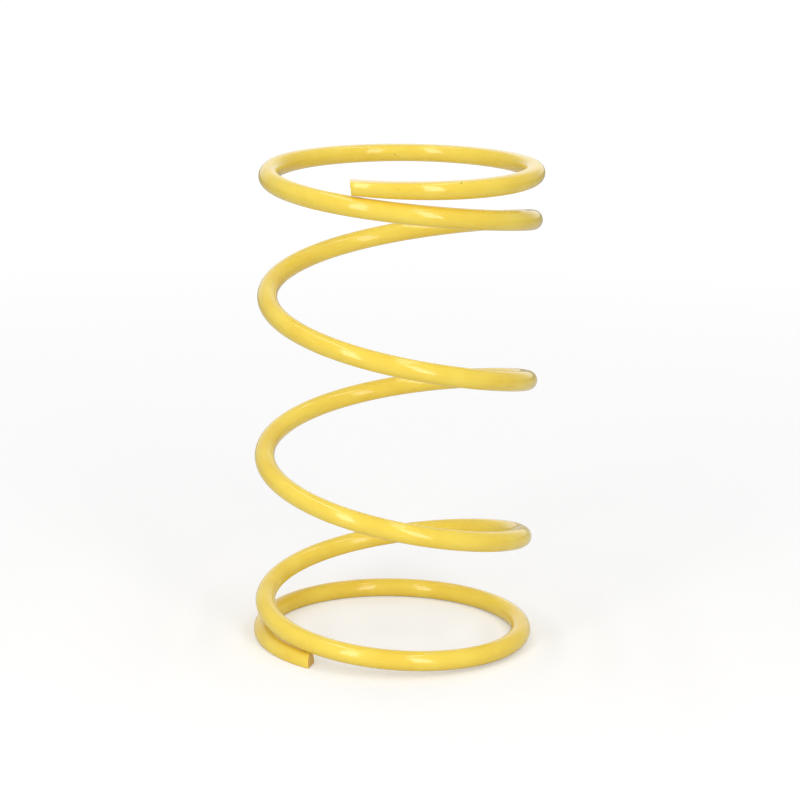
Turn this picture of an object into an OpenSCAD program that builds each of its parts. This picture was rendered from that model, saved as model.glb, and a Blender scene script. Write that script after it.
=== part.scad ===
// Compression spring of round wire: an open coil whose two end turns are closed and ground flat

/* [Coil] */
// Diameter of the wire, with its coating
wire_d = 4.4; // [3:0.1:5.5]
// Outside diameter of the coil
outer_d = 62.4; // [48:0.2:80]
// Height from one ground end to the other, with no load on the spring
free_len = 108; // [80:0.5:140]
// Turns of wire from tip to tip
turns = 4.955; // [4.4:0.005:7]
// Way in which the coil is wound
hand = "left"; // [left, right]

/* [Ends] */
// Height that each end turn climbs in one turn, before it starts to open
end_pitch = 1.7; // [0.4:0.1:2.2]
// Turns over which each end opens from its own pitch to the full pitch
opening_turns = 0.82; // [0.6:0.02:1.3]
// Depth that is ground off the wire at each tip
grind = 1.45; // [0.6:0.05:1.7]

/* [Tips] */
// Place of the upper tip round the coil, in degrees from the front
tip_deg = -21; // [-180:1:180]
// Height by which each tip is bent away from the turn beside it
tip_rise = 0.4; // [0:0.05:0.6]
// Turns over which each tip is bent away
tip_bend_turns = 0.16; // [0.08:0.02:0.3]
// Space between each tip and the turn beside it, from wire to wire
tip_gap = 0.15; // [0.1:0.05:0.6]
// Angle by which the cut across each tip is turned from the coil's radius
cut_skew = 22; // [0:1:30]

/* [Hidden] */

// Rings of points along one turn of the wire
rings_per_turn = 48;
// Points on the outer half of the wire's section, and as many on the inner half
half_sides = 9;
sides = 2 * half_sides;
// Half of the angle that one side of the section takes
half_side_deg = 180 / sides;

wire_r = wire_d / 2;
coil_r = (outer_d - wire_d) / 2;
// Length of one turn, seen from above
round_len = 2 * PI * coil_r;
// Height of the wire's centre over the ground face at a tip, before the tip is bent away
end_centre = wire_r - grind + tip_rise;
// Height that the wire's centre climbs from one such end to the other
climb = free_len - 2 * end_centre;

// In its first turn the wire climbs until the tip, bent away, just clears the turn beside it
first_turn = wire_d + tip_gap - tip_rise;
// The opening's pitch grows evenly, and makes up what the end pitch leaves of the first turn
first_turn_rest = first_turn - end_pitch;
// The full pitch fills the free length: square_part * x ^ 2 + root_part * x = climb_rest,
// where x is the root of what the full pitch adds to the end pitch
square_part = turns - 2 - opening_turns;
root_part = 2 * sqrt(2 * opening_turns * first_turn_rest);
climb_rest = climb - end_pitch * turns;
added_root = (sqrt(root_part ^ 2 + 4 * square_part * climb_rest) - root_part) / (2 * square_part);
added_pitch = added_root ^ 2;
// Turns from a tip to where the coil starts to open
closed_turns = 1 - sqrt(2 * opening_turns * first_turn_rest / added_pitch);

ring_count = ceil(turns * rings_per_turn);

// Turns from the nearer tip, at t turns from the upper one
function from_tip(t) = min(t, turns - t);

// Share of the opening that is passed, s turns from a tip
function opened(s) = max(0, min(1, (s - closed_turns) / opening_turns));

// Climb over the first s turns from an end, less what its tip is bent away
function end_climb(s) =
    end_pitch * s
    + added_pitch * (opening_turns * opened(s) ^ 2 / 2 + max(0, s - closed_turns - opening_turns))
    - tip_rise * max(0, 1 - s / tip_bend_turns) ^ 2;

// Height of the wire's centre
function centre_z(t) =
    end_centre + (t < turns / 2 ? climb - end_climb(t) : end_climb(turns - t));

// Half height of the wire's upright section, which grows a little as the wire slopes
function half_height(t) =
    let (pitch = end_pitch + added_pitch * opened(from_tip(t)))
    wire_r * sqrt(1 + (pitch / round_len) ^ 2);

// Angle from upright at which a level face cuts the section, or half a side where it doesn't reach
function face_deg(level, tall) = max(half_side_deg, acos(min(1, level / tall)));

// Angles of the section's points from upright, down the outside and up the inside, between the faces
function section_degs(t) =
    let (tall = half_height(t), z = centre_z(t))
    let (first = face_deg(free_len - z, tall))
    let (last = 180 - face_deg(z, tall))
    let (outside = [for (i = [0 : half_sides - 1]) first + (last - first) * i / (half_sides - 1)])
    concat(outside, [for (i = [half_sides - 1 : -1 : 0]) 360 - outside[i]]);

// Ring of points round the wire, in an upright plane turned by skew from the coil's radius
function ring(t, skew) =
    let (round_deg = tip_deg + 360 * t, z = centre_z(t), tall = half_height(t))
    [
        for (a = section_degs(t))
            let (out = wire_r * sin(a), along = out * tan(skew))
            [
                (coil_r + out) * sin(round_deg) + along * cos(round_deg),
                -(coil_r + out) * cos(round_deg) + along * sin(round_deg),
                z + tall * cos(a)
            ]
    ];

// Two triangles for each side of the wire between ring i and the next
function side_faces(i) = [
    for (j = [0 : sides - 1], half = [0, 1])
        let (here = i * sides, next = here + sides, k = (j + 1) % sides)
        half == 0 ? [here + j, next + j, next + k] : [here + j, next + k, here + k]
];

module spring() {
    points = [
        for (i = [0 : ring_count])
            each ring(turns * i / ring_count, i == 0 || i == ring_count ? cut_skew : 0)
    ];
    upper_tip = [for (j = [0 : sides - 1]) j];
    lower_tip = [for (j = [sides - 1 : -1 : 0]) ring_count * sides + j];
    walls = [for (i = [0 : ring_count - 1]) each side_faces(i)];
    color("#f4d04a")
        mirror([hand == "right" ? 1 : 0, 0, 0])
            polyhedron(points, concat([upper_tip, lower_tip], walls), convexity = 10);
}

spring();
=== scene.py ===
import math

import bpy
import numpy as np
from mathutils import Matrix, Vector


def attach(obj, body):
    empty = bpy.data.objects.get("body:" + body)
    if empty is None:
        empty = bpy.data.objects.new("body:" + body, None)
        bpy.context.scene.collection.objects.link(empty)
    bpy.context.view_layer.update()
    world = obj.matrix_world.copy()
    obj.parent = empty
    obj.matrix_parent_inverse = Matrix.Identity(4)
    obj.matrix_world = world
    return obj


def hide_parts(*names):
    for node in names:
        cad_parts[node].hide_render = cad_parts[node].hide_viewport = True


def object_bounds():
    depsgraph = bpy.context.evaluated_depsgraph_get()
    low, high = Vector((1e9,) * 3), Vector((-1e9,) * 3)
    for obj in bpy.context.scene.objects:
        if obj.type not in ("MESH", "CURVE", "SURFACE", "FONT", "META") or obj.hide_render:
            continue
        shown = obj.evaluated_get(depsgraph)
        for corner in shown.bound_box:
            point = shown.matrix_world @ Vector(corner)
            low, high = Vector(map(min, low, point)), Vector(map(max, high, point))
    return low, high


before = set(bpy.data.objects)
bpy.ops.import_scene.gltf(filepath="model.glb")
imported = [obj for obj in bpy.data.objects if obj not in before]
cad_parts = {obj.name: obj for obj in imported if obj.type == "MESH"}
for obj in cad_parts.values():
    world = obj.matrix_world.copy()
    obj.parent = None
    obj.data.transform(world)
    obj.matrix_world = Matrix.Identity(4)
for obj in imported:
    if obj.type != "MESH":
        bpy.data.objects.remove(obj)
cadLow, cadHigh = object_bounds()
mm = 0.001
print("stage: frame loaded, CAD box", [round(v / mm, 2) for v in cadHigh - cadLow], "mm")


def linearColour(code):  # sRGB hex to linear RGBA
    srgb = np.array([int(code[k:k + 2], 16) for k in (1, 3, 5)]) / 255
    linear = np.where(srgb <= 0.04045, srgb / 12.92, ((srgb + 0.055) / 1.055) ** 2.4)
    return (*linear.tolist(), 1.0)


def addNode(tree, kind, sockets=None, **settings):  # one node, set up and linked: gives its outputs
    node = tree.nodes.new("ShaderNode" + kind)
    for name, value in settings.items():
        setattr(node, name, value)
    for key, value in (sockets or {}).items():
        if isinstance(value, bpy.types.NodeSocket):
            tree.links.new(value, node.inputs[key])
        else:
            node.inputs[key].default_value = value
    return node.outputs


# The spring's wire: one round wire wound left-handed, both ends closed and ground flat.
spring = {
    "wire": 4.4 * mm,         # wire with its coat
    "turns": 4.955,           # tip to tip
    "endPitch": 1.7 * mm,     # rise of a closed end per turn
    "openingTurns": 0.82,     # from closed to full pitch
    "grind": 1.45 * mm,       # ground off the wire at each tip
    "tipDegrees": -21.0,      # upper tip, from the front towards the right
    "tipRise": 0.4 * mm,      # tips bent away from the turn beside them
    "tipBendTurns": 0.16,     # length of that bend
    "tipGap": 0.04 * mm,      # tip to the turn beside it
    "cutSkew": 22.0,          # the shears' angle to a square cut
    "cutLean": 7.0,           # the cut leaves the wire longest on its ground side
    "skewReach": 5.0 * mm,    # wire over which the rings turn square again
    "cutRound": 0.18 * mm,    # coat rounding the edge of a cut end
    "flatRound": 0.5 * mm,    # coat rounding the edge of a ground flat
    "ringsPerTurn": 144,
    "cutRings": 5,            # rings round the rounded edge of a cut
    "faceRings": 6,           # rings from that edge to the middle of the face
    # where the winding strays from an even one: turns from the upper tip, turns to either side of there
    # that it is felt, mm up, mm out
    "bends": {
        "tipSprungOut": (0.0, 0.4, 0.0, 0.25),
        "endTurnHigh": (0.3, 0.35, 0.2, 0.15),
        "endTurnLow": (0.8, 0.3, -0.35, -0.1),
        "middleSags": (2.1, 0.9, -0.35, -0.1),
        "sideStandsOut": (2.7, 0.4, 0.1, 0.2),
        "backPulledIn": (3.6, 0.5, 0.45, -0.5),
        "endTurnWide": (4.4, 0.4, 0.0, 0.2),
    },
    "upperTilt": 0.59 * mm,   # the upper end is ground this much out of square, at the coil's radius
    "tiltDegrees": 48.0,      # the way in which it is highest
}
# Stations of the rings' points on half a section: 0 to 1 crosses the upper flat,
# 1 to 2 goes down the side, 2 to 3 crosses the lower flat.
flatStations = np.array([0.0, 0.35, 0.65, 0.84, 0.94])
sideStations = 1 + np.concatenate([
    [0.0, 0.02, 0.05, 0.1], np.linspace(0.16, 0.84, 10), [0.9, 0.95, 0.98, 1.0]])
halfStations = np.concatenate([flatStations, sideStations, 3 - flatStations[::-1]])
leastFlat = math.radians(9.0)  # half angle that the flat's points take where the wire is round


def smoothLess(p, q, width):  # the lesser of two heights, with the corner rounded over that width
    return np.minimum(p, q) - np.maximum(width - np.abs(p - q), 0) ** 2 / (4 * width)


def strayWinding(turn):  # lift and spread: a sum of soft bells, each (1 - (distance / reach) ^ 2) ^ 2
    place, reach, up, out = np.array(list(spring["bends"].values())).T
    bell = np.maximum(0, 1 - ((turn[:, None] - place) / reach) ** 2) ** 2
    return bell @ up * mm, bell @ out * mm


def coilLine(turn, outerRadius, freeLength):
    # Centre line by turns from the upper tip: closed ends rise slowly, the pitch then grows evenly to
    # its full value, and the height comes from its sum, with each tip bent away from the turn beside it.
    # Gives the height, half the upright section's height, and the length of wire from the nearer tip.
    s = spring
    wireRadius = s["wire"] / 2
    coilRadius = outerRadius - wireRadius
    lineHeight = wireRadius - s["grind"] + s["tipRise"]
    climb = freeLength - 2 * lineHeight
    firstRise = s["wire"] + s["tipGap"] - s["tipRise"] - s["endPitch"]
    fullTurns = s["turns"] - 2 - s["openingTurns"]
    rootPart = 2 * math.sqrt(2 * s["openingTurns"] * firstRise)
    climbRest = climb - s["endPitch"] * s["turns"]
    addedPitch = ((math.sqrt(rootPart ** 2 + 4 * fullTurns * climbRest) - rootPart) / (2 * fullTurns)) ** 2
    closedTurns = 1 - math.sqrt(2 * s["openingTurns"] * firstRise / addedPitch)
    fromTip = np.minimum(turn, s["turns"] - turn)
    opened = np.clip((fromTip - closedTurns) / s["openingTurns"], 0, 1)
    past = np.maximum(0, fromTip - closedTurns - s["openingTurns"])
    rise = s["endPitch"] * fromTip + addedPitch * (s["openingTurns"] * opened ** 2 / 2 + past)
    rise = rise - s["tipRise"] * np.maximum(0, 1 - fromTip / s["tipBendTurns"]) ** 2
    height = lineHeight + np.where(turn < s["turns"] / 2, climb - rise, rise)
    pitch = s["endPitch"] + addedPitch * opened
    tall = wireRadius * np.sqrt(1 + (pitch / (2 * math.pi * coilRadius)) ** 2)
    return height, tall, fromTip * 2 * math.pi * coilRadius


def wireRows():
    # Rows along the wire: the middle of the upper cut face, out to its rounded edge, down the whole wire,
    # and back to the middle of the lower face. Each row has its turn, its inset and its push past the cut.
    s = spring
    arc = np.linspace(math.pi / 2, 0, s["cutRings"])
    edgeInset = s["cutRound"] * (1 - np.cos(arc))
    edgePush = -s["cutRound"] * (1 - np.sin(arc))
    faceInset = np.linspace(s["wire"] / 2, s["cutRound"], s["faceRings"] + 1)[1:-1]
    inset = np.concatenate([faceInset, edgeInset])
    push = np.concatenate([faceInset * 0, edgePush])
    body = np.linspace(0, s["turns"], round(s["turns"] * s["ringsPerTurn"]) + 1)[1:-1]
    turn = np.concatenate([push * 0, body, push * 0 + s["turns"]])
    return (turn, np.concatenate([inset, body * 0, inset[::-1]]),
            np.concatenate([-push, body * 0, push[::-1]]))


def sweepWire(outerRadius, freeLength):
    # The wire as a grid: turn along the wire by angle round the section, measured from upright, down the
    # outside and up the inside. A point is the centre line plus the section's out and up, cut off at the
    # two ground planes with a rounded corner.
    s = spring
    wireRadius = s["wire"] / 2
    turn, inset, push = wireRows()
    height, tall, run = coilLine(turn, outerRadius, freeLength)
    lift, spread = strayWinding(turn)
    height = height + lift
    radius = outerRadius - wireRadius + spread
    turn, inset, push, radius, height, tall, run = (
        v[:, None] for v in (turn, inset, push, radius, height, tall, run))
    roundAngle = np.radians(s["tipDegrees"]) + 2 * math.pi * turn
    sine, cosine = np.sin(roundAngle), np.cos(roundAngle)
    above = freeLength + s["upperTilt"] * np.cos(roundAngle - math.radians(s["tiltDegrees"])) - height
    upperFlat = np.maximum(leastFlat, np.arccos(np.minimum(1, above / tall)))
    lowerFlat = np.maximum(leastFlat, np.arccos(np.minimum(1, height / tall)))
    side = upperFlat + (math.pi - lowerFlat - upperFlat) * (halfStations - 1)
    half = np.where(halfStations < 1, upperFlat * halfStations, side)
    half = np.where(halfStations > 2, math.pi - lowerFlat * (3 - halfStations), half)
    angle = np.concatenate([half, 2 * math.pi - half[:, -2:0:-1]], 1)
    out = wireRadius * np.sin(angle)
    up = smoothLess(tall * np.cos(angle), above + 0 * angle, s["flatRound"])
    up = -smoothLess(-up, height + 0 * angle, s["flatRound"])
    toPlane = np.where(np.cos(angle) > 0, above, height)  # from the centre to the ground plane on that side
    flat = np.clip((tall * np.abs(np.cos(angle)) - toPlane) / (0.2 * mm), 0, 1)
    middle = (np.minimum(above, tall) - np.minimum(height, tall)) / 2
    shrink = 1 - inset / wireRadius
    out, up = out * shrink, middle + (up - middle) * shrink
    nearCut = np.maximum(0, 1 - run / s["skewReach"])
    skew, lean = (math.tan(math.radians(s[k])) * nearCut for k in ("cutSkew", "cutLean"))
    along = out * skew - (up - middle) * lean + push
    points = np.stack([(radius + out) * sine + along * cosine,
                       -(radius + out) * cosine + along * sine, height + up], 2)
    tips = np.stack([radius * sine, -radius * cosine, height + middle], 2)[[0, -1], 0]
    face = np.broadcast_to(np.clip(inset / s["cutRound"], 0, 1), angle.shape)
    wireRun = turn * 2 * math.pi * (outerRadius - wireRadius) + push
    marks = np.stack([wireRun + 0 * angle, angle * wireRadius], 2) / mm
    return points, tips, face, flat, marks


def gridFaces(rows, columns):  # quads of a grid closed round its columns, and fans to a pole at either end
    index = np.arange(rows * columns).reshape(rows, columns)
    after = np.roll(index, -1, 1)
    quads = np.stack([index[:-1], after[:-1], after[1:], index[1:]], 2).reshape(-1, 4)
    first, last = rows * columns, rows * columns + 1
    upper = np.stack([np.full(columns, first), after[0], index[0]], 1)
    lower = np.stack([index[-1], after[-1], np.full(columns, last)], 1)
    return quads, np.concatenate([upper, lower])


def makeSpring():
    size = cadHigh - cadLow
    points, tips, face, flat, marks = sweepWire(size.x / 2, size.z)
    rows, columns = points.shape[:2]
    quads, fans = gridFaces(rows, columns)
    vertices = np.concatenate([points.reshape(-1, 3), tips])
    mesh = bpy.data.meshes.new("spring_wire")
    mesh.from_pydata(vertices.tolist(), [], quads.tolist() + fans.tolist())
    mesh.polygons.foreach_set("use_smooth", np.ones(len(mesh.polygons), bool))
    for name, grid, atTips in (("cutFace", face, 1.0), ("groundFlat", flat, 0.0)):
        layer = mesh.attributes.new(name, "FLOAT", "POINT")
        layer.data.foreach_set("value", np.append(grid.reshape(-1), [atTips, atTips]).astype(np.float32))
    # UV in millimetres: along the wire, and round it without a jump back at the last column
    corners = np.empty(len(mesh.loops), np.int32)
    mesh.loops.foreach_get("vertex_index", corners)
    flatMarks = np.concatenate([marks.reshape(-1, 2), marks[[0, -1], 0]])
    uv = flatMarks[corners].astype(np.float32)
    wireRound = math.pi * spring["wire"] / mm
    quadUv = uv[:len(quads) * 4].reshape(-1, 4, 2)
    wraps = quadUv[:, :2, 1].max(1) - quadUv[:, :2, 1].min(1) > wireRound / 2
    quadUv[wraps, 1:3, 1] += wireRound
    mesh.uv_layers.new(name="wireRun").data.foreach_set("uv", uv.reshape(-1))
    mesh.validate()
    mesh.update()
    piece = bpy.data.objects.new("spring_wire", mesh)
    bpy.context.scene.collection.objects.link(piece)
    return piece


# Gloss yellow epoxy powder coat: one even lemon yellow with a wet gloss that is slightly orange-peeled,
# a little deeper where it flowed thick, with a few dust nibs, and thin and tan on the sheared ends.
coat = {
    "yellow": "#f8db56", "deepYellow": "#f3d14a",
    "toneSize": 9.0,          # mm, patches of thicker coat
    "roughness": (0.08, 0.13),
    "glossSize": 3.5,         # mm, patches of gloss
    "peelSize": 1.5,          # mm, orange peel
    "peelHeight": 0.003,      # mm
    "cutTan": "#f0c46c", "cutDark": "#d2a455",
    "cutShown": 0.8,          # how far the thin coat lets the cut steel's tan through
    "cutGrain": 0.35,         # mm, torn grain of the sheared face
    "cutHeight": 0.05,        # mm
    "cutRoughness": 0.5,
    "grindLine": 0.22,        # mm between grinding lines under the coat
    "grindLength": 9.0,       # mm
    "grindHeight": 0.0025,    # mm
    "nib": "#4b3a16",
    # dust nibs: turns from the upper tip, degrees round the section from upright, radius in mm
    "nibs": (
        (0.567, 260, 0.19), (0.125, 46, 0.26), (0.957, 92, 0.13), (0.056, 81, 0.12), (0.308, 354, 0.16),
        (1.62, 118, 0.13), (2.31, 205, 0.15), (3.27, 64, 0.13), (3.9, 300, 0.14), (4.43, 150, 0.15),
    ),
}


def powderCoat(coilRadius):
    material = bpy.data.materials.new("yellowPowderCoat")
    material.use_nodes = True
    tree = material.node_tree
    tree.nodes.clear()
    place = addNode(tree, "TexCoord")["Object"]
    run = addNode(tree, "UVMap", uv_map="wireRun")["UV"]
    cut = addNode(tree, "Attribute", attribute_name="cutFace")["Fac"]
    ground = addNode(tree, "Attribute", attribute_name="groundFlat")["Fac"]
    # colour: thicker patches are deeper, nibs are dark, the cut shows tan
    patch = addNode(tree, "TexNoise", {
        "Vector": place, "Scale": 1 / (coat["toneSize"] * mm), "Detail": 3.0})["Fac"]
    patch = addNode(tree, "MapRange", {"Value": patch, "From Min": 0.35, "From Max": 0.65})["Result"]
    colour = addNode(tree, "Mix", {
        0: patch, 6: linearColour(coat["yellow"]), 7: linearColour(coat["deepYellow"])}, data_type="RGBA")[2]
    for turn, degrees, radius in coat["nibs"]:
        spot = (turn * 2 * math.pi * coilRadius / mm, math.radians(degrees) * spring["wire"] / 2 / mm, 0.0)
        away = addNode(tree, "VectorMath", {0: run, 1: spot}, operation="DISTANCE")["Value"]
        speck = addNode(tree, "MapRange", {
            "Value": away, "From Min": radius * 0.4, "From Max": radius,
            "To Min": 0.75, "To Max": 0.0})["Result"]
        colour = addNode(tree, "Mix", {
            0: speck, 6: colour, 7: linearColour(coat["nib"])}, data_type="RGBA")[2]
    torn = addNode(tree, "TexNoise", {
        "Vector": place, "Scale": 1 / (coat["cutGrain"] * mm), "Detail": 3.0})["Fac"]
    tan = addNode(tree, "Mix", {
        0: torn, 6: linearColour(coat["cutTan"]), 7: linearColour(coat["cutDark"])}, data_type="RGBA")[2]
    shown = addNode(tree, "Math", {0: cut, 1: coat["cutShown"]}, operation="MULTIPLY")[0]
    colour = addNode(tree, "Mix", {0: shown, 6: colour, 7: tan}, data_type="RGBA")[2]
    # gloss: uneven over a few millimetres, dull on the cut
    gloss = addNode(tree, "TexNoise", {
        "Vector": place, "Scale": 1 / (coat["glossSize"] * mm), "Detail": 2.0})["Fac"]
    gloss = addNode(tree, "MapRange", {
        "Value": gloss, "From Min": 0.35, "From Max": 0.65,
        "To Min": coat["roughness"][0], "To Max": coat["roughness"][1]})["Result"]
    dull = addNode(tree, "Math", {0: cut, 1: coat["cutRoughness"]}, operation="MULTIPLY")[0]
    roughness = addNode(tree, "Math", {0: gloss, 1: dull}, operation="MAXIMUM")[0]
    # height in mm: orange peel, lines on the ground flats, torn grain on the cut
    peel = addNode(tree, "TexNoise", {
        "Vector": place, "Scale": 1 / (coat["peelSize"] * mm), "Detail": 1.0})["Fac"]
    height = addNode(tree, "Math", {0: peel, 1: coat["peelHeight"]}, operation="MULTIPLY")[0]
    lined = addNode(tree, "Mapping", {
        "Vector": place, "Scale": (coat["grindLine"] / coat["grindLength"], 1.0, 0.0)})["Vector"]
    line = addNode(tree, "TexNoise", {
        "Vector": lined, "Scale": 1 / (coat["grindLine"] * mm), "Detail": 1.0})["Fac"]
    for mark, where, tall in ((line, ground, coat["grindHeight"]), (torn, cut, coat["cutHeight"])):
        local = addNode(tree, "Math", {0: mark, 1: where}, operation="MULTIPLY")[0]
        height = addNode(tree, "Math", {0: local, 1: tall, 2: height}, operation="MULTIPLY_ADD")[0]
    bump = addNode(tree, "Bump", {"Height": height, "Strength": 1.0, "Distance": mm})["Normal"]
    shader = addNode(tree, "BsdfPrincipled", {
        "Base Color": colour, "Roughness": roughness, "Normal": bump, "IOR": 1.5})
    addNode(tree, "OutputMaterial", {"Surface": shader["BSDF"]})
    return material


wirePiece = makeSpring()
wirePiece.data.materials.append(powderCoat((cadHigh.x - cadLow.x - spring["wire"]) / 2))
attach(wirePiece, "root")
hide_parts("spring")
print("stage: spring wire,", len(wirePiece.data.polygons), "faces")

# Studio: a table with a painted pool of light round the spring that reads white to the camera, two tall
# lamps beside the camera and two long ones overhead, in a pale room.
studio = {
    "floorSize": 12.0,
    # painted pool of light: the table's own colour is pale round the spring and grey further out, so it
    # throws more light up near the spring
    "paintedPoolNear": "#dcdcdc", "paintedPoolFar": "#7c7c7c",
    "glowNear": 0.33, "glowFar": 0.9,     # added for the camera, so the table reads white to its far edge
    "glowInGloss": 0.2,                   # the share of that white, and the room's, that gloss mirrors
    "reach": (0.1, 0.6),                  # metres from the spring over which the painted pool of light on the table goes from near to far
    "room": 0.48, "roomBack": 1.12,       # brightness of the room all round, and straight behind the spring
    "backWide": 45.0,                     # degrees from straight behind at which the room is even again
    # centre, aimed at, the way the length runs, width and length in metres, brightness
    "lamps": {
        "lampFrontLeft": ((-0.39, -0.62, 0.46), (0.0, 0.0, 0.46), (0, 0, 1), 0.19, 0.92, 3.6),
        "lampFrontRight": ((0.31, -0.62, 0.41), (0.0, 0.0, 0.41), (0, 0, 1), 0.19, 0.82, 3.55),
        "lampTopLeft": ((-0.39, 0.0, 1.25), (0.0, 0.0, 0.05), (0, 1, 0), 0.14, 1.3, 2.9),
        "lampTopRight": ((0.36, 0.0, 1.25), (0.0, 0.0, 0.05), (0, 1, 0), 0.14, 1.3, 2.6),
    },
}


def makeFloor():
    half = studio["floorSize"] / 2
    mesh = bpy.data.meshes.new("table")
    corners = [(-half, -half, 0), (half, -half, 0), (half, half, 0), (-half, half, 0)]
    mesh.from_pydata(corners, [], [(0, 1, 2, 3)])
    table = bpy.data.objects.new("table", mesh)
    bpy.context.scene.collection.objects.link(table)
    material = bpy.data.materials.new("whiteTable")
    material.use_nodes = True
    tree = material.node_tree
    tree.nodes.clear()
    place = addNode(tree, "TexCoord")["Object"]
    away = addNode(tree, "VectorMath", {0: place}, operation="LENGTH")["Value"]
    far = addNode(tree, "MapRange", {
        "Value": away, "From Min": studio["reach"][0], "From Max": studio["reach"][1]})["Result"]
    # painted pool of light: pale table round the spring, grey further out
    paintedPoolColour = addNode(tree, "Mix", {
        0: far, 6: linearColour(studio["paintedPoolNear"]), 7: linearColour(studio["paintedPoolFar"])},
        data_type="RGBA")[2]
    paper = addNode(tree, "BsdfDiffuse", {"Color": paintedPoolColour})["BSDF"]
    rays = addNode(tree, "LightPath")
    seen = addNode(tree, "Math", {0: rays["Is Camera Ray"], 1: rays["Is Transmission Ray"]})[0]
    seen = addNode(tree, "Math", {0: rays["Is Glossy Ray"], 1: studio["glowInGloss"], 2: seen},
                   operation="MULTIPLY_ADD")[0]
    fade = addNode(tree, "MapRange", {
        "Value": far, "To Min": studio["glowNear"], "To Max": studio["glowFar"]})["Result"]
    strength = addNode(tree, "Math", {0: seen, 1: fade}, operation="MULTIPLY")[0]
    glow = addNode(tree, "Emission", {"Strength": strength})["Emission"]
    both = addNode(tree, "AddShader", {0: paper, 1: glow})["Shader"]
    addNode(tree, "OutputMaterial", {"Surface": both})
    mesh.materials.append(material)


def makeLamp(name, centre, target, lengthWay, width, length, brightness):
    light = bpy.data.lights.new(name, "AREA")
    light.shape = "RECTANGLE"
    light.size, light.size_y = width, length
    light.energy = 4 * width * length * brightness  # brightness is a quarter of the watts per area
    back = (Vector(centre) - Vector(target)).normalized()
    across = Vector(lengthWay).cross(back).normalized()
    turned = Matrix((across, back.cross(across), back)).transposed().to_4x4()
    lamp = bpy.data.objects.new(name, light)
    lamp.matrix_world = Matrix.Translation(centre) @ turned
    bpy.context.scene.collection.objects.link(lamp)


def makeWorld():
    world = bpy.data.worlds.new("paleRoom")
    bpy.context.scene.world = world
    world.use_nodes = True
    tree = world.node_tree
    tree.nodes.clear()
    way = addNode(tree, "SeparateXYZ", {0: addNode(tree, "TexCoord")["Generated"]})["Y"]
    room = addNode(tree, "MapRange", {
        "Value": way, "From Min": math.cos(math.radians(studio["backWide"])), "From Max": 1.0,
        "To Min": studio["room"], "To Max": studio["roomBack"]}, interpolation_type="SMOOTHSTEP")["Result"]
    rays = addNode(tree, "LightPath")
    seen = addNode(tree, "Math", {0: rays["Is Camera Ray"], 1: rays["Is Transmission Ray"]})[0]
    seen = addNode(tree, "Math", {0: rays["Is Glossy Ray"], 1: studio["glowInGloss"], 2: seen},
                   operation="MULTIPLY_ADD")[0]
    strength = addNode(tree, "Mix", {0: seen, 2: room, 3: 1.0})[0]  # white where it is seen straight
    glow = addNode(tree, "Background", {"Color": (1, 1, 1, 1), "Strength": strength})["Background"]
    addNode(tree, "OutputWorld", {"Surface": glow})


makeFloor()
for lampName, lampPlan in studio["lamps"].items():
    makeLamp(lampName, *lampPlan)
makeWorld()
print("stage: studio,", len(studio["lamps"]), "lamps")

# Camera: in front and a little above, with a long lens.
view = {
    "place": (0.0, -0.6105, 0.2038),
    "down": 13.727, "yaw": 0.075, "roll": -1.21,   # degrees
    "focalPixels": 2827.3, "imagePixels": 800, "sensor": 36.0,
}


def makeCamera():
    down, yaw, roll = (math.radians(view[k]) for k in ("down", "yaw", "roll"))
    ahead = Vector((math.sin(yaw), math.cos(yaw), 0))
    right = Vector((math.cos(yaw), -math.sin(yaw), 0))
    forward = math.cos(down) * ahead + Vector((0, 0, -math.sin(down)))
    up = math.sin(down) * ahead + Vector((0, 0, math.cos(down)))
    right, up = math.cos(roll) * right - math.sin(roll) * up, math.sin(roll) * right + math.cos(roll) * up
    lens = bpy.data.cameras.new("camera")
    lens.sensor_width = view["sensor"]
    lens.lens = view["focalPixels"] / view["imagePixels"] * view["sensor"]
    lens.clip_start, lens.clip_end = 0.01, 50.0
    camera = bpy.data.objects.new("camera", lens)
    turned = Matrix((right, up, -forward)).transposed().to_4x4()
    camera.matrix_world = Matrix.Translation(view["place"]) @ turned
    bpy.context.scene.collection.objects.link(camera)
    bpy.context.scene.camera = camera


makeCamera()
bpy.context.scene.view_settings.view_transform = "Standard"
print("stage: camera")
